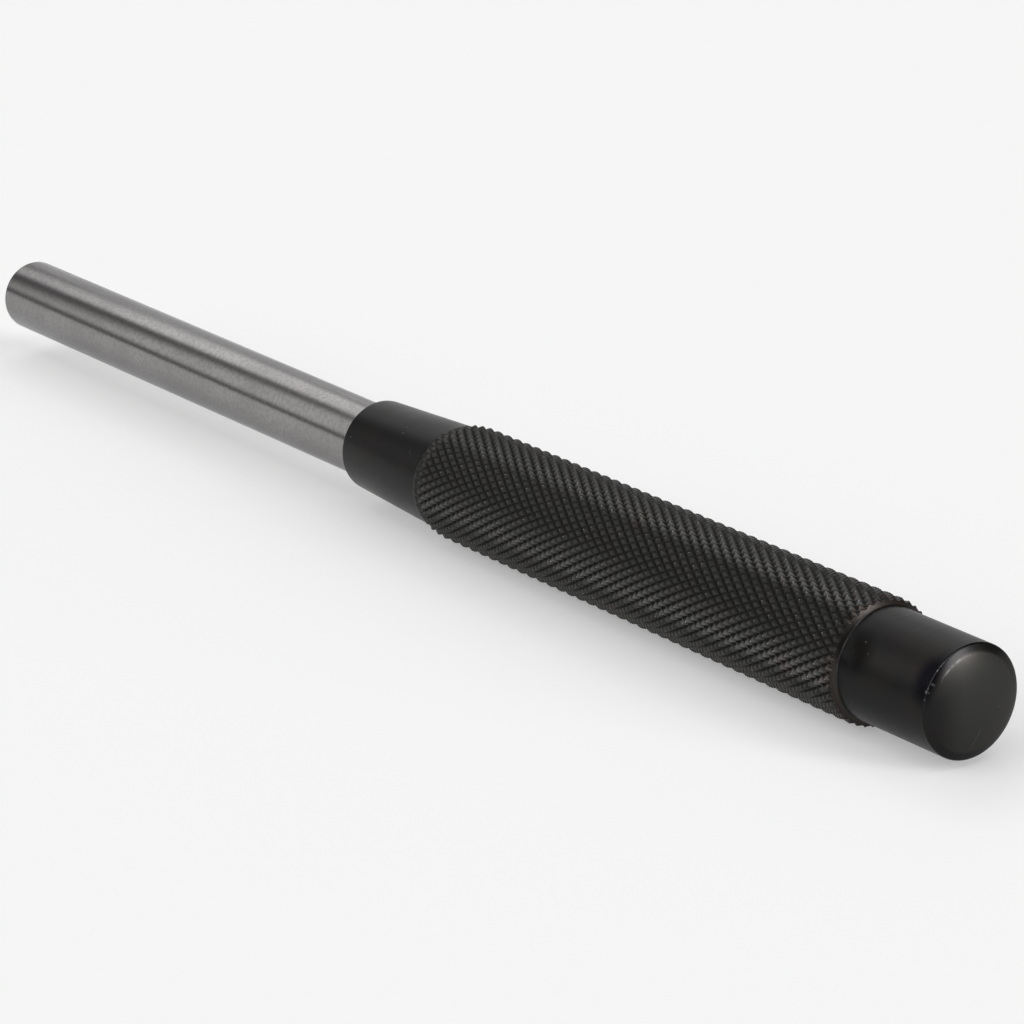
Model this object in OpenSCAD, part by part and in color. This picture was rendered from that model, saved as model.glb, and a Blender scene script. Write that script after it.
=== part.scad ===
// Pin punch: a ground pin whose shank is pressed into a knurled holder, up to the pin's step.
// The tool lies along +X, with the centre of its tip face at the origin and its head at the far end.
// Each turned piece is drawn along +Z, with the same zero, and then laid down along +X.

/* [Pin] */
// Diameter of the ground pin
pin_d = 7.94; // [4:0.02:9]
// Length of pin that stands out of the holder
pin_reach = 72.4; // [30:0.1:120]
// Width of the step where the pin gives way to its shank, and which seats on the nose
step_w = 0.795; // [0.4:0.005:1.2]
// Length of the shank that is seated in the holder
shank_len = 25; // [8:0.5:45]
// Radius of the rounded edge round the tip face
tip_round = 0.25; // [0.1:0.05:1]
// Chamfer on the seated end of the shank
seat_chamfer = 0.8; // [0.2:0.1:1.1]

/* [Bore] */
// Room left between the seated end of the shank and the bottom of the bore's wall
bore_relief = 0.6; // [0.2:0.1:3]
// Angle of the cone that the drill leaves, across its point
drill_angle = 118; // [90:1:150]
// Width of the chamfer round the mouth of the bore
mouth_chamfer = 0.2; // [0.05:0.05:0.3]

/* [Nose] */
// Length of the tapered nose, up to the lead-in
nose_len = 14.3; // [8:0.1:30]
// Wall of the nose at its front edge, round the pin
nose_wall = 0.88; // [0.7:0.02:1.5]
// Diameter of the nose where the lead-in begins
nose_rear_d = 11.1; // [10.8:0.02:11.4]
// Radius of the nose's front edge
nose_round = 0.3; // [0.1:0.05:0.35]

/* [Grip] */
// Length from the end of the nose to the shoulder of the head
grip_len = 68; // [30:0.1:75]
// Diameter over the teeth at the front of the grip
grip_front_d = 12.36; // [12.2:0.02:13.4]
// Diameter over the teeth at the back of the grip
grip_rear_d = 12.64; // [12.2:0.02:13.4]
// Length of the turned lead-in in front of the grip
lead_len = 1.7; // [0.8:0.05:4]
// Length of the chamfer between the teeth and the head
shoulder_len = 0.42; // [0.3:0.02:1.2]

/* [Knurl] */
// Number of teeth round the grip
knurl_teeth = 36; // [20:1:40]
// Length of one tooth along the grip
knurl_pitch = 1.8; // [1.62:0.01:3]
// Depth of the grooves between the teeth
knurl_depth = 0.4; // [0.2:0.01:0.45]

/* [Head] */
// Diameter of the plain head
head_d = 11.11; // [10.6:0.01:11.4]
// Length of the plain head, from the shoulder to the bevel
head_len = 12.08; // [5:0.01:30]
// Width of the bevel round the striking face
bevel_w = 0.8; // [0.2:0.05:2]
// Length of the bevel along the tool
bevel_len = 0.3; // [0.1:0.05:1]
// Height of the crown on the striking face
crown_h = 0.5; // [0.2:0.05:1.2]

/* [Hidden] */

// Facets of a full circle, and of the crown's much larger one
$fn = 96;
crown_facets = 480;
// How far a cutting shape runs past what it cuts
over = 1;

// Radii
pin_r = pin_d / 2;
shank_r = pin_r - step_w;
nose_front_r = pin_r + nose_wall;
nose_rear_r = nose_rear_d / 2;
head_r = head_d / 2;
face_r = head_r - bevel_w;
front_crest_r = grip_front_d / 2;
rear_crest_r = grip_rear_d / 2;

// Stations along the tool
nose_x = pin_reach;
lead_x = nose_x + nose_len;
grip_x = lead_x + lead_len;
shoulder_x = lead_x + grip_len;
bevel_x = shoulder_x + head_len;
face_x = bevel_x + bevel_len;
// End of the shank, end of the bore's straight wall, and the point of the drill's cone
shank_end_x = nose_x + shank_len;
bore_end_x = shank_end_x + bore_relief;
drill_x = bore_end_x + shank_r / tan(drill_angle / 2);
chamfer_x = shoulder_x - shoulder_len;

// Slopes, as radius gained for each unit of length
nose_slope = (nose_rear_r - nose_front_r) / nose_len;
lead_slope = (front_crest_r - nose_rear_r) / lead_len;
grip_slope = (rear_crest_r - front_crest_r) / (chamfer_x - grip_x);
chamfer_slope = (head_r - rear_crest_r) / shoulder_len;

// The plain bar inside the toothed sleeve, and the sleeve's inner wall, which lies under the bar's skin
core_share = 0.55;
sleeve_share = 0.25;
bar_r = min(nose_rear_r, head_r);
core_r = shank_r + core_share * (bar_r - shank_r);
sleeve_r = shank_r + sleeve_share * (bar_r - shank_r);
// How far the sleeve's ends run into the nose and the head, under their surfaces
front_lap_share = 0.25;
front_lap = front_lap_share * lead_len;
rear_lap_share = 0.25;
rear_lap = rear_lap_share * shoulder_len;

// Fillet at the root of the shank, which lies within the chamfer round the mouth of the bore
fillet_share = 0.75;
root_fillet = fillet_share * mouth_chamfer;

// Rows of teeth stand half a tooth apart, and every other row is turned by half a tooth
row_step = knurl_pitch / 2;
columns = 2 * knurl_teeth;
column_step = 360 / columns;
// Where the grooves run out of the lead-in, and where they meet the chamfer
groove_x = grip_x - knurl_depth / lead_slope;
groove_end_x = chamfer_x - knurl_depth / chamfer_slope;
// The last row stands a little in front of the chamfer, and the first a little behind the groove ends
end_gap_share = 0.15;
end_gap = end_gap_share * knurl_pitch;
last_row_x = chamfer_x - end_gap;
row_count = floor((last_row_x - groove_x - end_gap) / row_step) + 1;
first_row_x = last_row_x - (row_count - 1) * row_step;

// Radius over the teeth at a station: the lead-in limits it at the front
function crest_r(x) = x < grip_x ? front_crest_r - (grip_x - x) * lead_slope
                                 : front_crest_r + (x - grip_x) * grip_slope;
// Radius at the bottom of the grooves at a station
function root_r(x) = front_crest_r + (x - grip_x) * grip_slope - knurl_depth;
// Radius of the chamfer's cone at a station
function chamfer_r(x) = head_r + (x - shoulder_x) * chamfer_slope;

// A point of the sleeve: column number, station and radius
function spot(column, x, r) = [r * cos(column * column_step), r * sin(column * column_step), x];
// Whether a column of a row carries the top of a tooth
function is_crest(row, column) = (row + column) % 2 == 0;

// Rings of the sleeve, from its front end to its back end
function front_ring() = [for (c = [0 : columns - 1])
    spot(c, lead_x - front_lap, nose_rear_r - front_lap * lead_slope)];
function groove_ring() = [for (c = [0 : columns - 1]) spot(c, groove_x, crest_r(groove_x))];
function tooth_ring(row) = let (x = first_row_x + row * row_step)
    [for (c = [0 : columns - 1]) spot(c, x, is_crest(row, c) ? crest_r(x) : root_r(x))];
// On the chamfer's cone: the teeth end where the chamfer starts, the grooves farther back
function chamfer_ring() = [for (c = [0 : columns - 1])
    let (x = is_crest(row_count - 1, c) ? chamfer_x : groove_end_x) spot(c, x, chamfer_r(x))];
function rear_ring() = [for (c = [0 : columns - 1])
    spot(c, shoulder_x + rear_lap, chamfer_r(shoulder_x + rear_lap))];
function inner_ring(x) = [for (c = [0 : columns - 1]) spot(c, x, sleeve_r)];

// Two triangles of a cell between two rings, split along the groove and not over the tooth
function cell(a, b, c, d, crest_first) = crest_first ? [[a, b, d], [b, c, d]] : [[a, b, c], [a, c, d]];
// The band between ring number k and the next one, where crest_row tells which columns are teeth
function band(k, crest_row) = [for (c = [0 : columns - 1])
    let (n = (c + 1) % columns)
    each cell(k * columns + c, (k + 1) * columns + c, (k + 1) * columns + n, k * columns + n,
              is_crest(crest_row, c))];

// The knurled sleeve: staggered four-sided teeth, from the lead-in to the chamfer
module knurled_sleeve() {
    rings = concat(
        [front_ring(), groove_ring()],
        [for (row = [0 : row_count - 1]) tooth_ring(row)],
        [chamfer_ring(), rear_ring()],
        [inner_ring(shoulder_x + rear_lap), inner_ring(lead_x - front_lap)]
    );
    ring_count = len(rings);
    outer_last = ring_count - 3;
    faces = concat(
        [for (k = [0 : outer_last - 1]) each band(k, k - 2)],
        [for (k = [outer_last : ring_count - 2]) each band(k, 0)],
        [for (c = [0 : columns - 1])
            let (n = (c + 1) % columns, k = (ring_count - 1) * columns)
            each cell(k + c, c, n, k + n, true)]
    );
    polyhedron(points = [for (ring = rings) each ring], faces = faces, convexity = 4);
}

// Half outline of the turned bar with its bore, from the axis round the bore to the striking face
module bar_outline() {
    polygon([
        [0, drill_x],
        [shank_r, bore_end_x],
        [shank_r, nose_x + mouth_chamfer],
        [shank_r + mouth_chamfer, nose_x],
        [nose_front_r - nose_round, nose_x],
        [nose_front_r + nose_round * nose_slope, nose_x + nose_round],
        [nose_rear_r + front_lap * nose_slope, lead_x + front_lap],
        [core_r, lead_x + front_lap],
        [core_r, shoulder_x - rear_lap],
        [head_r, shoulder_x - rear_lap],
        [head_r, bevel_x],
        [face_r, face_x],
        [0, face_x]
    ]);
    translate([nose_front_r - nose_round, nose_x + nose_round]) circle(nose_round);
    crown_outline();
}

// Half outline of the crown: a shallow arc over the striking face
module crown_outline() {
    crown_r = (pow(face_r, 2) + pow(crown_h, 2)) / (2 * crown_h);
    intersection() {
        translate([0, bevel_x]) square([face_r, bevel_len + crown_h + over]);
        translate([0, face_x + crown_h - crown_r]) circle(crown_r, $fn = crown_facets);
    }
}

module laid_down() {
    rotate([0, 90, 0]) children();
}

// Half outline of the pin, from the rounded tip past the step to the chamfered end of the shank
module pin_outline() {
    polygon([
        [0, 0],
        [pin_r - tip_round, 0],
        [pin_r - tip_round, tip_round],
        [pin_r, tip_round],
        [pin_r, nose_x],
        [shank_r, nose_x],
        [shank_r, shank_end_x - seat_chamfer],
        [shank_r - seat_chamfer, shank_end_x],
        [0, shank_end_x]
    ]);
    translate([pin_r - tip_round, tip_round]) circle(tip_round);
    difference() {
        translate([shank_r, nose_x]) square(root_fillet);
        translate([shank_r + root_fillet, nose_x + root_fillet]) circle(root_fillet);
    }
}

// The pin: a ground rod with a turned-down shank
module pin() {
    color("#c4c5c6") laid_down() rotate_extrude() pin_outline();
}

// The holder: the turned bar and the knurled sleeve in one solid
module holder() {
    color("#3b3a39") laid_down() {
        rotate_extrude() bar_outline();
        knurled_sleeve();
    }
}

holder();
pin();
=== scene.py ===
"""The pin punch's looks: a ground steel pin in a black, diamond-knurled holder, on a pale studio floor."""

import logging
import math
from dataclasses import dataclass, field
from enum import Enum

import bmesh
import bpy
from mathutils import Matrix, Vector


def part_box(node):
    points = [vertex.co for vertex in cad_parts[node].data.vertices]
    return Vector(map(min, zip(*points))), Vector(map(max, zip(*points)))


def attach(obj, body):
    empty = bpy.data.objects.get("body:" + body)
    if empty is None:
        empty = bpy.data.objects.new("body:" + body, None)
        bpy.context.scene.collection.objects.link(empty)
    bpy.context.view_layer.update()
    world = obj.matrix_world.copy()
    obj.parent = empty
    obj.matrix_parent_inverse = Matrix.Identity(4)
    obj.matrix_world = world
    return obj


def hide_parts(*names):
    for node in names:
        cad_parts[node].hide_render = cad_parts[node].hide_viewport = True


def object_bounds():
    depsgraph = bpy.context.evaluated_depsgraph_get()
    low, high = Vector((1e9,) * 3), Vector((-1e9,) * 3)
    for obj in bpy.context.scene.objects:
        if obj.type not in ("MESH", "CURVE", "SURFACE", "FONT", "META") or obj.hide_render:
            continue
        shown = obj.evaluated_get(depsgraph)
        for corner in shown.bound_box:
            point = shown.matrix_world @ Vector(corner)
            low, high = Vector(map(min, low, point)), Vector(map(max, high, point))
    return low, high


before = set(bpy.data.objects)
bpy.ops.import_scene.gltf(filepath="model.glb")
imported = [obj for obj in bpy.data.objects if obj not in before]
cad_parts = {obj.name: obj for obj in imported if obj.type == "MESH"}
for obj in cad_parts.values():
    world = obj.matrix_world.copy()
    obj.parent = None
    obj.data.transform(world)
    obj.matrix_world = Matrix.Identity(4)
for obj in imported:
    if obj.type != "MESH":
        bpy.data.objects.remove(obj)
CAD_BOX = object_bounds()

MM = 0.001
FULL_TURN = 2 * math.pi
WELD = 0.0005 * MM
SENSOR_MM = 36.0
log = logging.getLogger("pin_punch")

Pair = tuple[float, float]
Triple = tuple[float, float, float]
Shade = tuple[float, float, float, float]


class Slot(Enum):
    """The record's material slots."""

    BLACK_OXIDE = "black_oxide_steel"
    GROUND = "ground_steel"


@dataclass(frozen=True)
class Corner:
    """One corner of a turned outline, with the length of outline that its rounding takes up on each side."""

    x: float
    r: float
    rounding: float = 0.0
    steps: int = 4


class TurnedMesh:
    """A closed solid of revolution about the X axis."""

    def __init__(self, outline: list[Corner], columns: int, turn: float = 0.0) -> None:
        """Draws the outline and spins it.

        Args:
            outline: the corners, from one point on the axis to the other.
            columns: how many faces go round the axis.
            turn: the angle about the axis at which the first column stands, from +Z towards +Y.
        """
        self.columns = columns
        self.turn = turn
        self.bm = bmesh.new()
        self._draw(outline)
        self._spin()

    def _draw(self, outline: list[Corner]) -> None:
        """Makes the outline as a chain of edges above the axis and rounds its corners.

        Args:
            outline: the corners, from one point on the axis to the other.
        """
        spots = [self.bm.verts.new((corner.x, 0, corner.r)) for corner in outline]
        for start, end in zip(spots, spots[1:]):
            self.bm.edges.new((start, end))
        for spot, corner in zip(spots, outline):
            if corner.rounding > 0:
                bmesh.ops.bevel(self.bm, geom=[spot], offset=corner.rounding, offset_type="OFFSET",
                                affect="VERTICES", segments=corner.steps, profile=0.5, material=-1)

    def _spin(self) -> None:
        """Spins the outline right round the axis and closes its poles."""
        place = Matrix.Rotation(-self.turn, 3, "X")
        bmesh.ops.rotate(self.bm, verts=self.bm.verts[:], cent=(0, 0, 0), matrix=place)
        bmesh.ops.spin(self.bm, geom=self.bm.verts[:] + self.bm.edges[:], cent=(0, 0, 0), axis=(1, 0, 0),
                       dvec=(0, 0, 0), angle=FULL_TURN, steps=self.columns, use_merge=True)
        bmesh.ops.remove_doubles(self.bm, verts=self.bm.verts[:], dist=WELD)

    def finish(self, name: str, crease_deg: float) -> bpy.types.Object:
        """Turns the mesh into an object.

        Args:
            name: the object's name.
            crease_deg: the angle between two faces above which their edge stays sharp.

        Returns:
            The new object, linked to the scene.
        """
        bmesh.ops.recalc_face_normals(self.bm, faces=self.bm.faces[:])
        mesh = bpy.data.meshes.new(name)
        self.bm.to_mesh(mesh)
        self.bm.free()
        mesh.shade_smooth()
        mesh.set_sharp_from_angle(angle=math.radians(crease_deg))
        piece = bpy.data.objects.new(name, mesh)
        bpy.context.scene.collection.objects.link(piece)
        return piece


class Wire:
    """A number that runs through a material's nodes, with arithmetic."""

    def __init__(self, nodes: "NodeMaker", socket: bpy.types.NodeSocket) -> None:
        """Wraps a socket of one of the maker's nodes."""
        self.nodes = nodes
        self.socket = socket

    def _maths(self, operation: str, *values: "Wire | float") -> "Wire":
        """Adds a Math node.

        Args:
            operation: the Math node's operation.
            values: its inputs, in order.

        Returns:
            The node's result.
        """
        sockets = {index: value for index, value in enumerate(values)}
        return self.nodes.number("ShaderNodeMath", {"operation": operation}, sockets)

    def __add__(self, other: "Wire | float") -> "Wire":
        """Sum."""
        return self._maths("ADD", self, other)

    def __sub__(self, other: "Wire | float") -> "Wire":
        """Difference."""
        return self._maths("SUBTRACT", self, other)

    def __mul__(self, other: "Wire | float") -> "Wire":
        """Product."""
        return self._maths("MULTIPLY", self, other)

    def __truediv__(self, other: "Wire | float") -> "Wire":
        """Quotient."""
        return self._maths("DIVIDE", self, other)

    def __pow__(self, other: "Wire | float") -> "Wire":
        """Power."""
        return self._maths("POWER", self, other)

    def __radd__(self, other: float) -> "Wire":
        """Sum, with the plain number first."""
        return self + other

    def __rmul__(self, other: float) -> "Wire":
        """Product, with the plain number first."""
        return self * other

    def __rsub__(self, other: float) -> "Wire":
        """Difference, with the plain number first."""
        return self._maths("SUBTRACT", other, self)

    def __abs__(self) -> "Wire":
        """Size without the sign."""
        return self._maths("ABSOLUTE", self)

    def larger(self, other: "Wire | float") -> "Wire":
        """The larger of two numbers."""
        return self._maths("MAXIMUM", self, other)

    def rise(self, low: float, high: float) -> "Wire":
        """A smooth step.

        Args:
            low: the number at which the step starts from 0.
            high: the number at which it reaches 1, which may be the smaller one.

        Returns:
            A number from 0 to 1.
        """
        flip = low > high
        sockets = {"Value": self, "From Min": min(low, high), "From Max": max(low, high),
                   "To Min": 1.0 if flip else 0.0, "To Max": 0.0 if flip else 1.0}
        settings = {"interpolation_type": "SMOOTHSTEP"}
        return self.nodes.number("ShaderNodeMapRange", settings, sockets, "Result")

    def near(self, centre: float, reach: float) -> "Wire":
        """A smooth bump: 1 at the centre and 0 from the reach on."""
        return abs(self - centre).rise(reach, 0.0)


Value = Wire | float | tuple


class NodeMaker:
    """Makes the nodes of one material or world."""

    def __init__(self, tree: bpy.types.NodeTree) -> None:
        """Empties a node tree and keeps it."""
        self.tree = tree
        tree.nodes.clear()

    def add(self, kind: str, settings: dict[str, object], sockets: dict[int | str, Value]) -> bpy.types.Node:
        """Adds one node.

        Args:
            kind: the node's type.
            settings: its settings, which are set first.
            sockets: the values or links of its inputs, by name or number.

        Returns:
            The node.
        """
        node = self.tree.nodes.new(kind)
        for name, value in settings.items():
            setattr(node, name, value)
        for key, value in sockets.items():
            if isinstance(value, Wire):
                self.tree.links.new(value.socket, node.inputs[key])
            elif isinstance(value, bpy.types.NodeSocket):
                self.tree.links.new(value, node.inputs[key])
            else:
                node.inputs[key].default_value = value
        return node

    def number(self, kind: str, settings: dict[str, object], sockets: dict[int | str, Value],
               output: int | str = 0) -> Wire:
        """Adds one node and gives one of its outputs as a number to calculate with."""
        return Wire(self, self.add(kind, settings, sockets).outputs[output])

    def blend(self, share: Wire, low: Value, high: Value, mode: str = "MIX") -> bpy.types.NodeSocket:
        """Mixes two colours.

        Args:
            share: 0 for the first colour, 1 for the second.
            low: the first colour, as a socket or as three numbers.
            high: the second colour.
            mode: the Mix node's blend type, in which the second colour acts on the first.

        Returns:
            The mixed colour's socket.
        """
        ends = [(*end, 1.0) if isinstance(end, tuple) else end for end in (low, high)]
        settings = {"data_type": "RGBA", "blend_type": mode}
        node = self.add("ShaderNodeMix", settings, {0: share, 6: ends[0], 7: ends[1]})
        return node.outputs[2]

    def noise(self, place: bpy.types.NodeSocket, stretch: Triple, detail: float, rough: float) -> Wire:
        """Noise from 0 to 1, drawn out along the axes.

        Args:
            place: the coordinates, in metres.
            stretch: how many noise cells there are in a metre along each axis.
            detail: how many finer layers there are.
            rough: how strong the finer layers are.

        Returns:
            The noise, which stays mostly between 0.3 and 0.7.
        """
        mapping = {"Vector": place, "Scale": stretch}
        stretched = self.add("ShaderNodeMapping", {"vector_type": "POINT"}, mapping)
        sockets = {"Vector": stretched.outputs[0], "Scale": 1.0, "Detail": detail, "Roughness": rough}
        return self.number("ShaderNodeTexNoise", {"noise_dimensions": "3D"}, sockets, "Fac")


@dataclass
class Surface:
    """What a finish reads from the place on a piece: coordinates along and round the tool."""

    nodes: NodeMaker
    edge_core_share: float = 0.3
    dot_core_share: float = 0.6
    place: bpy.types.NodeSocket = field(init=False)
    x: Wire = field(init=False)
    y: Wire = field(init=False)
    z: Wire = field(init=False)
    radius: Wire = field(init=False)
    angle: Wire = field(init=False)

    def __post_init__(self) -> None:
        """Adds the coordinate nodes."""
        self.place = self.nodes.add("ShaderNodeTexCoord", {}, {}).outputs["Object"]
        split = self.nodes.add("ShaderNodeSeparateXYZ", {}, {0: self.place})
        self.x, self.y, self.z = (Wire(self.nodes, output) for output in split.outputs)
        self.radius = (self.y ** 2.0 + self.z ** 2.0) ** 0.5
        self.angle = self.nodes.number("ShaderNodeMath", {"operation": "ARCTAN2"}, {0: self.y, 1: self.z})

    def patch(self, spot: "Spot") -> Wire:
        """A soft patch on the turned surface: 1 in its middle and 0 from its edge on."""
        along = (self.x - spot.x) / spot.reach
        around = (self.angle - math.radians(spot.angle_deg)) / math.radians(spot.spread_deg)
        return ((along ** 2.0 + around ** 2.0) ** 0.5).rise(1.0, 1.0 - spot.softness)

    def near_edge(self, x: float, radius: float, reach: float) -> Wire:
        """How near a place is to a round edge.

        Args:
            x: the edge's station along the tool.
            radius: the edge's radius.
            reach: the distance from which on the result is 0.

        Returns:
            1 on the edge and 0 away from it.
        """
        away = ((self.x - x) ** 2.0 + (self.radius - radius) ** 2.0) ** 0.5
        return away.rise(reach, self.edge_core_share * reach)

    def specks(self, cells: float, share: float, size: float) -> Wire:
        """Scattered round dots.

        Args:
            cells: how many cells there are in a metre.
            share: how many of the cells have a dot.
            size: the dot's radius as a share of a cell.

        Returns:
            1 on a dot and 0 elsewhere.
        """
        settings = {"feature": "F1", "voronoi_dimensions": "3D"}
        node = self.nodes.add("ShaderNodeTexVoronoi", settings, {"Vector": self.place, "Scale": cells})
        chance = self.nodes.add("ShaderNodeSeparateColor", {}, {0: node.outputs["Color"]}).outputs[0]
        dot = Wire(self.nodes, node.outputs["Distance"]).rise(size, size * self.dot_core_share)
        return dot * Wire(self.nodes, chance).rise(1.0 - share, 1.001 - share)


@dataclass(frozen=True)
class Spot:
    """An oval place on the turned surface."""

    x: float
    angle_deg: float
    reach: float
    spread_deg: float
    softness: float = 1.0


@dataclass(frozen=True)
class Rub:
    """How bare steel shows on a rubbed place: in patches over a range of noise, and a little all over."""

    spot: Spot
    noise_range: Pair
    patchy: float
    even: float

    def share(self, surface: Surface, rubbed: Wire) -> Wire:
        """The share of bare steel.

        Args:
            surface: the coordinates.
            rubbed: the noise of the rubbing.

        Returns:
            The share, which is 0 away from the place.
        """
        return surface.patch(self.spot) * (rubbed.rise(*self.noise_range) * self.patchy + self.even)


@dataclass(frozen=True)
class GroundSteel:
    """Hardened steel, ground round: bright and satin, with fine rings."""

    colour: Triple = (0.306, 0.297, 0.289)
    dull_colour: Triple = (0.274, 0.265, 0.258)
    grain_colour: Triple = (0.225, 0.217, 0.211)
    roughness: float = 0.20
    roughness_swing: float = 0.08
    ring_cells: float = 4000.0
    ring_round_cells: float = 40.0
    ring_height: float = 0.0022 * MM
    grain_cells: float = 2600.0
    grain_height: float = 0.0030 * MM
    grain_range: Pair = (0.42, 0.62)
    grain_strength: float = 0.5
    smudge_cells: float = 160.0
    smudge_range: Pair = (0.35, 0.70)
    edge_tint: Shade = (0.72, 0.72, 0.74, 1.0)

    def make(self) -> bpy.types.Material:
        """Makes the material."""
        material = bpy.data.materials.new("ground_steel")
        material.use_nodes = True
        nodes = NodeMaker(material.node_tree)
        surface = Surface(nodes)
        ring_stretch = (self.ring_cells, self.ring_round_cells, self.ring_round_cells)
        rings = nodes.noise(surface.place, ring_stretch, detail=4.0, rough=0.6)
        smudge = nodes.noise(surface.place, (self.smudge_cells,) * 3, detail=4.0, rough=0.6)
        grain = nodes.noise(surface.place, (self.grain_cells,) * 3, detail=1.0, rough=0.5)
        colour = nodes.blend(smudge.rise(*self.smudge_range), self.colour, self.dull_colour)
        colour = nodes.blend(grain.rise(*self.grain_range) * self.grain_strength, colour, self.grain_colour)
        rough = self.roughness + (rings + smudge - 1.0) * self.roughness_swing
        height = rings * self.ring_height + grain * self.grain_height
        bump = nodes.add("ShaderNodeBump", {}, {"Height": height, "Distance": 1.0, "Strength": 1.0})
        shader = nodes.add("ShaderNodeBsdfPrincipled", {}, {
            "Base Color": colour, "Metallic": 1.0, "Roughness": rough, "Specular Tint": self.edge_tint,
            "Normal": bump.outputs[0]})
        nodes.add("ShaderNodeOutputMaterial", {}, {0: shader.outputs[0]})
        return material


@dataclass(frozen=True)
class BlackOxide:
    """Turned and knurled steel under a satin black oxide, rubbed on its edges and points, with painted shade
    across the crown and a painted highlight on its rim.
    """

    colour: Triple = (0.0190, 0.0191, 0.0196)
    thin_colour: Triple = (0.0225, 0.0212, 0.0198)
    red_tint: Triple = (1.25, 0.95, 0.95)
    red_strength: float = 0.35
    knurl_colour: Triple = (0.0574, 0.0569, 0.0539)
    crown_colour: Triple = (0.0370, 0.0365, 0.0340)
    chamfer_colour: Triple = (0.0560, 0.0470, 0.0435)
    groove_colour: Triple = (0.0258, 0.0255, 0.0240)
    burnt_colour: Triple = (0.0500, 0.0410, 0.0370)
    worn_colour: Triple = (0.42, 0.40, 0.40)
    knurl_metal: float = 0.55
    edge_tint: Shade = (0.85, 0.85, 0.85, 1.0)
    roughness: float = 0.36
    knurl_roughness: float = 0.24
    front_dulling: float = 0.12
    end_roughness: float = 0.24
    crown_roughness: float = 0.31
    roughness_swing: float = 0.16
    ring_cells: float = 2600.0
    ring_round_cells: float = 12.0
    ring_height: float = 0.0016 * MM
    patch_cells: float = 220.0
    thin_range: Pair = (0.40, 0.70)
    burnt_range: Pair = (0.35, 0.55)
    chamfer_range: Pair = (0.30, 0.50)
    deep_range: Pair = (0.28, 0.45)
    red_cells: float = 350.0
    red_range: Pair = (0.50, 0.75)
    rub_cells: float = 1400.0
    tip_range: Pair = (0.53, 0.61)
    speck_cells: float = 650.0
    speck_share: float = 0.2
    speck_size: float = 0.07
    speck_strength: float = 0.25
    tip_depth: float = 0.085 * MM
    tip_core_depth: float = 0.034 * MM
    burnt_len: float = 1.7 * MM
    # Painted shade: across Y, the crown's lighter colour fades out towards −Y.
    crown_painted_shade: Pair = (-4.6 * MM, -1.0 * MM)
    groove_high: float = 0.18 * MM
    groove_low: float = 0.34 * MM
    groove_strength: float = 0.78
    edge_reach: float = 0.13 * MM
    edge_wear: Rub = Rub(Spot(166.8 * MM, -46.0, 1.0 * MM, 44.0, 0.6), (0.50, 0.68), 0.85, 0.12)
    # On the crown's rim, bare steel is partly wear and partly a painted highlight.
    rim_wear_and_highlight: Rub = Rub(Spot(167.1 * MM, -32.0, 1.0 * MM, 24.0, 0.6), (0.42, 0.62), 0.08, 0.01)
    shoulder_wear: Rub = Rub(Spot(154.7 * MM, -50.0, 0.06 * MM, 52.0, 0.7), (0.35, 0.65), 0.12, 0.03)
    specks: tuple[Spot, ...] = (
        Spot(77.5 * MM, -39.7, 0.10 * MM, 1.1), Spot(81.2 * MM, -28.7, 0.12 * MM, 1.3),
        Spot(81.5 * MM, -37.6, 0.16 * MM, 1.8), Spot(84.65 * MM, -56.2, 0.11 * MM, 1.2),
        Spot(157.0 * MM, -48.4, 0.10 * MM, 1.5), Spot(158.0 * MM, -58.0, 0.08 * MM, 0.9),
        Spot(166.68 * MM, -76.4, 0.15 * MM, 1.6), Spot(166.68 * MM, -68.8, 0.24 * MM, 2.4, 0.7),
        Spot(166.82 * MM, -60.2, 0.18 * MM, 1.9),
    )
    deep_spots: tuple[tuple[Spot, Triple], ...] = (
        (Spot(156.5 * MM, -60.0, 3.0 * MM, 30.0, 0.8), (0.0075, 0.0070, 0.0064)),
        (Spot(166.4 * MM, -56.0, 2.3 * MM, 38.0, 0.7), (0.0060, 0.0062, 0.0088)),
    )
    scratch: tuple[Pair, Pair] = ((0.86 * MM, -2.35 * MM), (-0.35 * MM, -4.57 * MM))
    scratch_w: float = 0.06 * MM
    scratch_core_w: float = 0.018 * MM
    scratch_strength: float = 0.07

    def wear(self, nodes: NodeMaker, surface: Surface, holder: "Holder") -> Wire:
        """Where bare steel shows: on points of the knurl, on two edges, in specks and in a scratch; on the
        crown's rim it is also a painted highlight.

        Args:
            nodes: the material's nodes.
            surface: the coordinates.
            holder: the piece, for its sizes.

        Returns:
            The share of bare steel.
        """
        rubbed = nodes.noise(surface.place, (self.rub_cells,) * 3, detail=2.0, rough=0.6)
        tips = self.below_teeth(surface, holder).rise(self.tip_depth, self.tip_core_depth)
        tips = tips * rubbed.rise(*self.tip_range)
        edge = surface.near_edge(holder.bevel_x, holder.head_r, self.edge_reach)
        edge = edge * self.edge_wear.share(surface, rubbed)
        # The crown's rim: rubbed steel that also stands in for a painted highlight.
        rim = surface.near_edge(holder.face_x, holder.face_r, self.edge_reach)
        rim = rim * self.rim_wear_and_highlight.share(surface, rubbed)
        shoulder = self.shoulder_wear.share(surface, rubbed)
        total = tips.larger(edge).larger(rim).larger(shoulder).larger(self.scratched(surface, holder))
        for spot in self.specks:
            total = total.larger(surface.patch(spot) * self.speck_strength)
        scattered = surface.specks(self.speck_cells, self.speck_share, self.speck_size)
        return total.larger(scattered * self.speck_strength)

    def below_teeth(self, surface: Surface, holder: "Holder") -> Wire:
        """How far a place lies below the tops of the knurl's teeth."""
        knurl = holder.knurl
        slope = (knurl.rear_r - knurl.front_r) / (knurl.rear_x - knurl.front_x)
        return (surface.x - knurl.front_x) * slope + knurl.front_r - surface.radius

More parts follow.
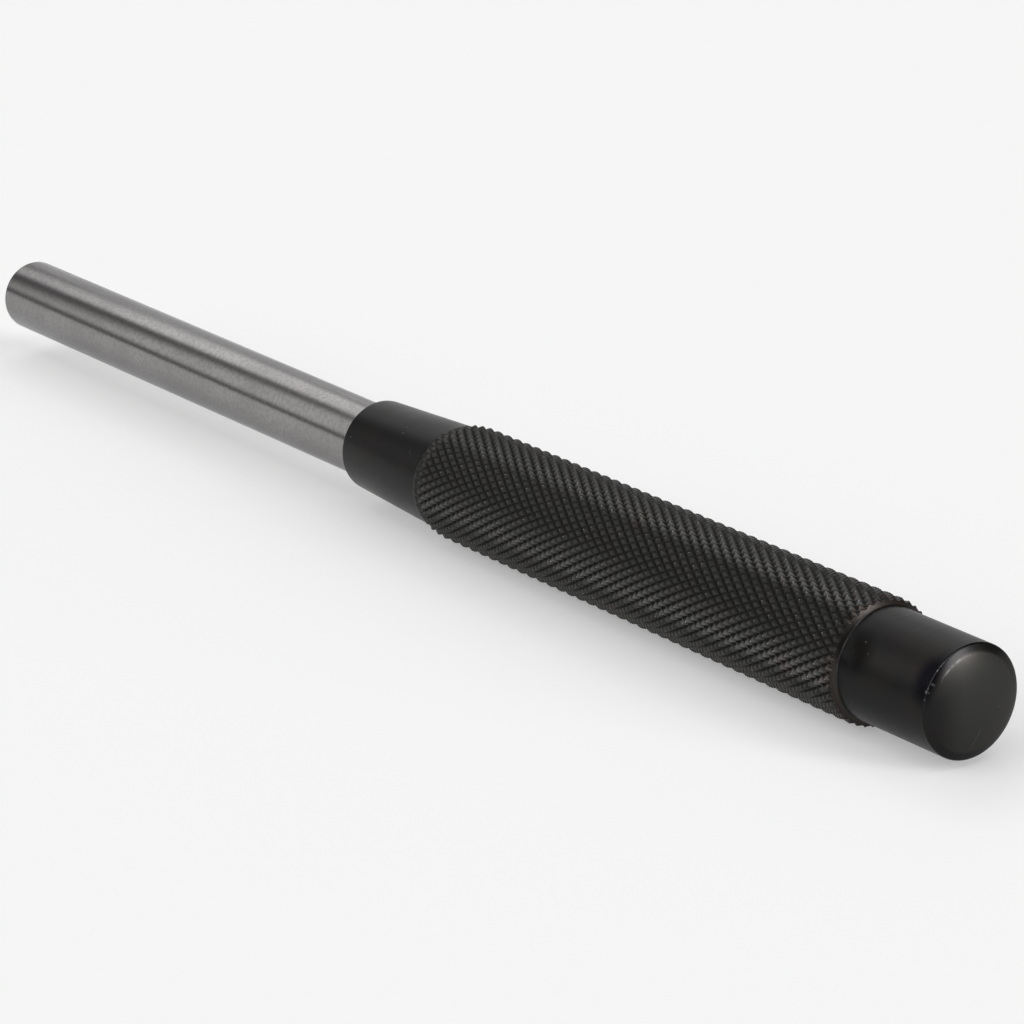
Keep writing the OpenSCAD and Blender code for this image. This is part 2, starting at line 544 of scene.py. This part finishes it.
    def scratched(self, surface: Surface, holder: "Holder") -> Wire:
        """The thin scratch on the striking face."""
        start, end = (Vector(point) for point in self.scratch)
        along = (end - start).normalized()
        middle = (start + end) / 2
        run = (surface.y - middle.x) * along.x + (surface.z - middle.y) * along.y
        off = (surface.y - middle.x) * along.y - (surface.z - middle.y) * along.x
        inside = abs(run).rise((end - start).length / 2, (end - start).length / 4)
        inside = inside * abs(off).rise(self.scratch_w, self.scratch_core_w)
        return inside * surface.x.rise(holder.bevel_x, holder.face_x) * self.scratch_strength

    def make(self, holder: "Holder") -> bpy.types.Material:
        """Makes the material.

        Args:
            holder: the piece, for its sizes.

        Returns:
            The material.
        """
        material = bpy.data.materials.new("black_oxide_steel")
        material.use_nodes = True
        nodes = NodeMaker(material.node_tree)
        surface = Surface(nodes)
        ring_stretch = (self.ring_cells, self.ring_round_cells, self.ring_round_cells)
        rings = nodes.noise(surface.place, ring_stretch, detail=2.0, rough=0.5)
        patches = nodes.noise(surface.place, (self.patch_cells,) * 3, detail=4.0, rough=0.55)
        reds = nodes.noise(surface.place, (self.red_cells,) * 3, detail=2.0, rough=0.5)
        before_head = surface.x.rise(holder.shoulder_x, holder.chamfer_x)
        grip = surface.x.rise(holder.lead_x, holder.first_row + holder.lead_bite) * before_head
        chamfer = surface.x.near(holder.rim_middle_x, holder.shoulder_x - holder.chamfer_x)
        face = surface.x.rise(holder.bevel_x, holder.face_x) * surface.radius.rise(
            holder.face_r + holder.face_rounding, holder.face_r - holder.face_rounding)
        # Painted shade: the crown's lighter colour fades out towards −Y, for a darker reflection on that side
        # of the face.
        crown = face * surface.y.rise(*self.crown_painted_shade)
        end = surface.x.rise(holder.bevel_x - self.edge_reach, holder.bevel_x)
        burnt = surface.x.rise(holder.chamfer_x - self.burnt_len, holder.chamfer_x) * before_head
        # Darker towards the bottoms of the grooves.
        grooves = grip * self.below_teeth(surface, holder).rise(self.groove_high, self.groove_low)
        on_side = patches.rise(*self.deep_range) * surface.radius.rise(holder.face_r, holder.head_r)
        worn = self.wear(nodes, surface, holder)
        colour = nodes.blend(patches.rise(*self.thin_range), self.colour, self.thin_colour)
        layers = [
            (grip, self.knurl_colour),
            (crown, self.crown_colour),
            (burnt * patches.rise(*self.burnt_range), self.burnt_colour),
            (chamfer * patches.rise(*self.chamfer_range), self.chamfer_colour),
            (grooves * self.groove_strength, self.groove_colour),
            *((surface.patch(spot) * on_side, tint) for spot, tint in self.deep_spots),
        ]
        for share, tint in layers:
            colour = nodes.blend(share, colour, tint)
        reddened = reds.rise(*self.red_range) * self.red_strength
        colour = nodes.blend(reddened, colour, self.red_tint, "MULTIPLY")
        colour = nodes.blend(worn, colour, self.worn_colour)
        metal = (grip * (self.knurl_metal - 1.0) + 1.0).larger(worn)
        dulling = surface.x.rise(holder.chamfer_x, holder.lead_x) * self.front_dulling
        rough = grip * (dulling + (self.knurl_roughness - self.roughness))
        rough = rough + end * (self.end_roughness - self.roughness)
        rough = rough + face * (self.crown_roughness - self.end_roughness)
        rough = rough + self.roughness + (rings + patches - 1.0) * self.roughness_swing
        height = rings * self.ring_height * (1.0 - grip.larger(end))
        bump = nodes.add("ShaderNodeBump", {}, {"Height": height, "Distance": 1.0, "Strength": 1.0})
        shader = nodes.add("ShaderNodeBsdfPrincipled", {}, {
            "Base Color": colour, "Metallic": metal, "Roughness": rough, "Specular IOR Level": 0.0,
            "Specular Tint": self.edge_tint, "Normal": bump.outputs[0]})
        nodes.add("ShaderNodeOutputMaterial", {}, {0: shader.outputs[0]})
        return material


@dataclass
class Pin:
    """The ground pin and the shank that the holder hides."""

    tip_rounding: float = 0.25 * MM
    step_w: float = 0.795 * MM
    seat_chamfer: float = 0.8 * MM
    columns: int = 160
    crease_deg: float = 40.0

    def __post_init__(self) -> None:
        """Takes the main sizes from the frame."""
        low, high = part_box("pin")
        self.tip_x, self.end_x, self.radius = low.x, high.x, high.z
        self.seat_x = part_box("holder")[0].x
        self.shank_r = self.radius - self.step_w

    def build(self) -> bpy.types.Object:
        """Makes the pin's mesh."""
        outline = [
            Corner(self.tip_x, 0.0),
            Corner(self.tip_x, self.radius, self.tip_rounding, 5),
            Corner(self.seat_x, self.radius),
            Corner(self.seat_x, self.shank_r),
            Corner(self.end_x - self.seat_chamfer, self.shank_r),
            Corner(self.end_x, self.shank_r - self.seat_chamfer),
            Corner(self.end_x, 0.0),
        ]
        return TurnedMesh(outline, self.columns).finish("ground_pin", self.crease_deg)

    def dress(self, piece: bpy.types.Object) -> None:
        """Gives the pin its finish and its place in the frame."""
        piece.data.materials.append(GroundSteel().make())
        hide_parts("pin")
        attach(piece, "root")


@dataclass
class Knurl:
    """The diamond knurl: pointed four-sided teeth between two families of spiral grooves."""

    teeth: int = 39
    pitch: float = 1.665 * MM
    depth: float = 0.40 * MM
    front_r: float = 6.17 * MM
    rear_r: float = 6.31 * MM
    front_x: float = 88.4 * MM
    rear_x: float = 154.28 * MM
    shift: float = -0.25 * MM
    turn_deg: float = 2.85
    steps_per_half_tooth: int = 3
    blunt_share: float = 0.07
    blunt_power: float = 4.0
    groove_share: float = 0.49
    tolerance_share: float = 0.1

    def __post_init__(self) -> None:
        """Works out the grid on which the teeth are drawn."""
        self.columns = 2 * self.teeth * self.steps_per_half_tooth
        self.row_step = self.pitch / 2 / self.steps_per_half_tooth
        self.tolerance = self.row_step * self.tolerance_share
        self.turn = math.radians(self.turn_deg)

    def crest_r(self, x: float) -> float:
        """Radius over the teeth at a station."""
        return self.front_r + (self.rear_r - self.front_r) * (x - self.front_x) / (self.rear_x - self.front_x)

    def share(self, x: float, angle: float) -> float:
        """Height on a tooth, from 0 in a groove to 1 at a point.

        Args:
            x: the station along the tool.
            angle: the angle round the tool, from +Z towards +Y.

        Returns:
            The height as a share of the depth, before the point is blunted.
        """
        return 1 - 2 * max(self.off_spirals(x, angle))

    def off_spirals(self, x: float, angle: float) -> Pair:
        """How far a place is from the middle of a tooth across each family of grooves, up to a half."""
        along = (x - self.shift) / (self.pitch / 2)
        around = (angle - self.turn) / (math.pi / self.teeth)
        spirals = ((along + around) / 2, (along - around) / 2)
        return tuple(abs(spiral - round(spiral)) for spiral in spirals)

    def in_groove(self, x: float, angle: float) -> bool:
        """Whether a place lies at the bottom of a groove."""
        return max(self.off_spirals(x, angle)) > self.groove_share

    def radius(self, x: float, angle: float) -> float:
        """Radius of the toothed surface at a station and an angle."""
        share = self.share(x, angle)
        blunt = self.blunt_share * max(share, 0.0) ** self.blunt_power
        return self.crest_r(x) - self.depth * (1 - share * (1 - blunt))

    def rows(self, start: float, end: float) -> tuple[float, float, int]:
        """The grid's rows between two stations.

        Args:
            start: the station that the first row must not pass.
            end: the station that the last row must not pass.

        Returns:
            The first row's station, the last row's, and how many steps lie between them.
        """
        first = math.ceil((start - self.shift) / self.row_step)
        last = math.floor((end - self.shift) / self.row_step)
        return self.shift + first * self.row_step, self.shift + last * self.row_step, last - first


@dataclass
class Holder:
    """The black holder in one piece: nose, lead-in, knurled grip, chamfer, head and striking face."""

    bore_r: float = 3.175 * MM
    bore_end_x: float = 98.0 * MM
    drill_half_angle_deg: float = 59.0
    mouth_chamfer: float = 0.2 * MM
    nose_front_r: float = 4.85 * MM
    nose_rounding: float = 0.3 * MM
    lead_x: float = 86.7 * MM
    lead_r: float = 5.55 * MM
    lead_len: float = 1.7 * MM
    lead_rounding: float = 0.12 * MM
    lead_bite: float = 0.26 * MM
    bite_slope: float = 0.6
    chamfer_x: float = 154.28 * MM
    shoulder_x: float = 154.7 * MM
    shoulder_fillet: float = 0.12 * MM
    head_r: float = 5.555 * MM
    bevel_x: float = 166.78 * MM
    bevel_rounding: float = 0.16 * MM
    face_x: float = 167.08 * MM
    face_r: float = 4.755 * MM
    face_rounding: float = 0.22 * MM
    crown_steps: int = 16
    crown_power: float = 2.25
    row_gap: float = 0.06 * MM
    rim_tries: int = 24
    crease_deg: float = 24.0
    knurl: Knurl = field(default_factory=Knurl)

    def __post_init__(self) -> None:
        """Takes the ends from the frame and works out the slopes."""
        low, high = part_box("holder")
        self.nose_x, self.end_x = low.x, high.x
        self.lead_slope = (self.knurl.front_r - self.lead_r) / self.lead_len
        self.chamfer_slope = (self.head_r - self.knurl.rear_r) / (self.shoulder_x - self.chamfer_x)
        self.rim_middle_x = (self.chamfer_x + self.shoulder_x) / 2
        self.first_row, self.last_row, self.row_steps = self.knurl.rows(self.lead_x + self.lead_rounding,
                                                                       self.chamfer_x - self.row_gap)

    def lead_surface_r(self, x: float) -> float:
        """Radius of the lead-in's cone at a station."""
        return self.lead_r + (x - self.lead_x) * self.lead_slope

    def faded_r(self, x: float, angle: float) -> float:
        """Radius in the lead-in, where the grooves start shallow on the cone and deepen."""
        bite = min(self.lead_bite, (x - self.first_row) * self.bite_slope)
        return self.lead_surface_r(x) - bite * (1 - self.knurl.share(x, angle))

    def chamfer_surface_r(self, x: float) -> float:
        """Radius of the chamfer's cone at a station."""
        return self.head_r + (x - self.shoulder_x) * self.chamfer_slope

    def crown(self) -> list[Corner]:
        """The crown's curve from the bevel to the axis, which bends most near the bevel."""
        height = self.end_x - self.face_x
        shares = [1 - step / self.crown_steps for step in range(1, self.crown_steps + 1)]
        return [Corner(self.end_x - height * share ** self.crown_power, self.face_r * share)
                for share in shares]

    def outline(self) -> list[Corner]:
        """The holder's outline, from the drill's point round the nose to the middle of the striking face."""
        drill_x = self.bore_end_x + self.bore_r / math.tan(math.radians(self.drill_half_angle_deg))
        middle_r = (self.head_r + self.knurl.rear_r) / 2
        return [
            Corner(drill_x, 0.0),
            Corner(self.bore_end_x, self.bore_r),
            Corner(self.nose_x + self.mouth_chamfer, self.bore_r),
            Corner(self.nose_x, self.bore_r + self.mouth_chamfer),
            Corner(self.nose_x, self.nose_front_r, self.nose_rounding, 5),
            Corner(self.lead_x, self.lead_r, self.lead_rounding),
            Corner(self.first_row, self.lead_surface_r(self.first_row)),
            Corner(self.last_row, self.knurl.crest_r(self.last_row)),
            Corner(self.rim_middle_x, middle_r),
            Corner(self.shoulder_x, self.head_r, self.shoulder_fillet),
            Corner(self.bevel_x, self.head_r, self.bevel_rounding, 8),
            Corner(self.face_x, self.face_r, self.face_rounding),
            *self.crown(),
        ]

    def rim_x(self, angle: float) -> float:
        """The station at which the chamfer cuts the teeth.

        Args:
            angle: the angle round the tool.

        Returns:
            The station where the toothed surface meets the chamfer's cone.
        """
        low, high = self.chamfer_x, self.shoulder_x
        for _ in range(self.rim_tries):
            middle = (low + high) / 2
            if self.knurl.radius(middle, angle) < self.chamfer_surface_r(middle):
                low = middle
            else:
                high = middle
        return (low + high) / 2

    def cut_rows(self, turned: TurnedMesh) -> None:
        """Divides the grip's one long band into the grid's rows."""
        tolerance = self.knurl.tolerance
        long_edges = []
        for edge in turned.bm.edges:
            stations = sorted(spot.co.x for spot in edge.verts)
            outside = min(spot.co.yz.length for spot in edge.verts) > self.nose_front_r
            off = max(abs(stations[0] - self.first_row), abs(stations[1] - self.last_row))
            if outside and off < tolerance:
                long_edges.append(edge)
        bmesh.ops.subdivide_edges(turned.bm, edges=long_edges, cuts=self.row_steps - 1, use_grid_fill=True)

    def raise_teeth(self, turned: TurnedMesh) -> None:
        """Moves the grid's points to the toothed surface and splits its faces along the grooves."""
        tolerance = self.knurl.tolerance
        valleys = []
        for spot in turned.bm.verts:
            around = spot.co.yz
            if around.length < self.nose_front_r:
                continue
            angle = math.atan2(spot.co.y, spot.co.z)
            x = spot.co.x
            if abs(x - self.rim_middle_x) < tolerance:
                x = self.rim_x(angle)
                radius = self.chamfer_surface_r(x)
            elif self.first_row - tolerance < x < self.last_row + tolerance:
                radius = min(self.knurl.radius(x, angle), self.faded_r(x, angle))
                if self.knurl.in_groove(x, angle):
                    valleys.append(spot)
            else:
                continue
            around = around.normalized() * radius
            spot.co = (x, around.x, around.y)
        bmesh.ops.connect_verts(turned.bm, verts=valleys)

    def build(self) -> bpy.types.Object:
        """Makes the holder's mesh."""
        turned = TurnedMesh(self.outline(), self.knurl.columns, self.knurl.turn)
        self.cut_rows(turned)
        self.raise_teeth(turned)
        return turned.finish("black_holder", self.crease_deg)

    def dress(self, piece: bpy.types.Object) -> None:
        """Gives the holder its finish and its place in the frame."""
        piece.data.materials.append(BlackOxide().make(self))
        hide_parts("holder")
        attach(piece, "root")


@dataclass(frozen=True)
class Panel:
    """A soft light panel, far away, as a bright patch of the sky between two heights."""

    azimuth_deg: float
    half_w_deg: float
    side_edge_deg: float
    low_deg: float
    high_deg: float
    level_edge_deg: float
    strength: float


@dataclass
class Studio:
    """The floor, the soft light and the camera."""

    floor_half: float = 4.0
    floor_colour: Triple = (0.70, 0.70, 0.70)
    floor_roughness: float = 0.9
    floor_glow: float = 0.31
    sky_strength: float = 0.15
    lens_mm: float = 162.986
    aim: Triple = (96.892 * MM, -0.442 * MM, -0.78 * MM)
    distance: float = 468.631 * MM
    azimuth_deg: float = -35.5885
    elevation_deg: float = 18.2466
    clip: Pair = (0.01, 50.0)
    panels: tuple[Panel, ...] = (
        # Behind the tool: the pin's and the holder's upper bands
        Panel(170.5, 19.0, 10.0, 18.0, 44.0, 12.0, 1.5),
        Panel(164.0, 40.0, 14.0, 36.0, 60.0, 7.0, 1.6),
        Panel(150.0, 14.0, 8.0, 33.0, 48.0, 6.0, 1.3),
        Panel(142.0, 20.0, 8.0, -5.0, 36.0, 8.0, 0.62),
        Panel(137.0, 13.0, 6.0, 14.0, 40.0, 8.0, 0.7),
        Panel(100.0, 42.0, 24.0, -5.0, 14.0, 6.0, 0.5),
        # On the camera's side: their lower bands
        Panel(-140.0, 26.0, 10.0, 4.0, 48.0, 7.0, 0.85),
        Panel(-100.0, 24.0, 8.0, 9.0, 56.0, 18.0, 3.1),
        Panel(-118.0, 36.0, 12.0, 44.0, 74.0, 14.0, 1.9),
        # In front of the head: the bevel, the crown and the teeth's rear faces
        Panel(22.5, 12.5, 5.0, -5.0, 38.0, 8.0, 9.0),
        Panel(33.0, 8.0, 5.0, -5.0, 11.0, 5.0, 7.0),
        # High up, over the end with the head
        Panel(-10.0, 65.0, 25.0, 44.0, 74.0, 12.0, 1.75),
    )

    def build_floor(self) -> None:
        """Makes the floor on which the grip lies."""
        bm = bmesh.new()
        bmesh.ops.create_grid(bm, x_segments=1, y_segments=1, size=self.floor_half)
        bmesh.ops.translate(bm, verts=bm.verts[:], vec=(0, 0, CAD_BOX[0].z))
        mesh = bpy.data.meshes.new("floor")
        bm.to_mesh(mesh)
        bm.free()
        floor = bpy.data.objects.new("floor", mesh)
        bpy.context.scene.collection.objects.link(floor)
        material = bpy.data.materials.new("pale_floor")
        material.use_nodes = True
        nodes = NodeMaker(material.node_tree)
        path = nodes.add("ShaderNodeLightPath", {}, {}).outputs
        seen = Wire(nodes, path["Is Camera Ray"]).larger(Wire(nodes, path["Is Glossy Ray"]))
        seen = seen.larger(Wire(nodes, path["Is Transmission Ray"]))
        glow = nodes.blend(seen, (0.0, 0.0, 0.0), (self.floor_glow,) * 3)
        shader = nodes.add("ShaderNodeBsdfPrincipled", {}, {
            "Base Color": (*self.floor_colour, 1.0), "Roughness": self.floor_roughness,
            "Specular IOR Level": 0.0, "Emission Color": glow, "Emission Strength": 1.0})
        nodes.add("ShaderNodeOutputMaterial", {}, {0: shader.outputs[0]})
        floor.data.materials.append(material)

    def build_light(self) -> None:
        """Makes the soft light: a plain sky with bright panels in it."""
        world = bpy.data.worlds.new("studio")
        bpy.context.scene.world = world
        world.use_nodes = True
        nodes = NodeMaker(world.node_tree)
        direction = nodes.add("ShaderNodeTexCoord", {}, {}).outputs["Generated"]
        total: Wire | float = self.sky_strength
        for panel in self.panels:
            facing = nodes.add("ShaderNodeVectorRotate", {"rotation_type": "Z_AXIS"}, {
                "Vector": direction, "Angle": math.radians(-panel.azimuth_deg)})
            split = nodes.add("ShaderNodeSeparateXYZ", {}, {0: facing.outputs[0]})
            ahead, across, up = (Wire(nodes, output) for output in split.outputs)
            side = abs(nodes.number("ShaderNodeMath", {"operation": "ARCTAN2"}, {0: across, 1: ahead}))
            level = nodes.number("ShaderNodeMath", {"operation": "ARCSINE"}, {0: up})
            half_w, side_edge = math.radians(panel.half_w_deg), math.radians(panel.side_edge_deg)
            low, high = math.radians(panel.low_deg), math.radians(panel.high_deg)
            level_edge = math.radians(panel.level_edge_deg)
            above, below = level.rise(low, low + level_edge), level.rise(high, high - level_edge)
            total = side.rise(half_w, half_w - side_edge) * above * below * panel.strength + total
        shader = nodes.add("ShaderNodeBackground", {}, {"Color": (1.0, 1.0, 1.0, 1.0), "Strength": total})
        nodes.add("ShaderNodeOutputWorld", {}, {0: shader.outputs[0]})

    def build_camera(self) -> None:
        """Places the camera where the photograph was taken from."""
        azimuth, elevation = math.radians(self.azimuth_deg), math.radians(self.elevation_deg)
        back = Vector((math.cos(azimuth) * math.cos(elevation), math.sin(azimuth) * math.cos(elevation),
                       math.sin(elevation)))
        data = bpy.data.cameras.new("camera")
        data.lens = self.lens_mm
        data.sensor_width = SENSOR_MM
        data.clip_start, data.clip_end = self.clip
        camera = bpy.data.objects.new("camera", data)
        camera.location = Vector(self.aim) + back * self.distance
        camera.rotation_euler = back.to_track_quat("Z", "Y").to_euler()
        bpy.context.scene.collection.objects.link(camera)
        bpy.context.scene.camera = camera

    def build(self) -> None:
        """Makes the whole studio."""
        self.build_floor()
        self.build_light()
        self.build_camera()
        bpy.context.scene.view_settings.view_transform = "Standard"


def main() -> None:
    """Builds the pieces in order, then the studio."""
    logging.basicConfig(level=logging.INFO, format="%(name)s: %(message)s")
    for maker in (Pin(), Holder()):
        piece = maker.build()
        maker.dress(piece)
        log.info("%s has %d faces", piece.name, len(piece.data.polygons))
    Studio().build()


if __name__ == "__main__":
    main()
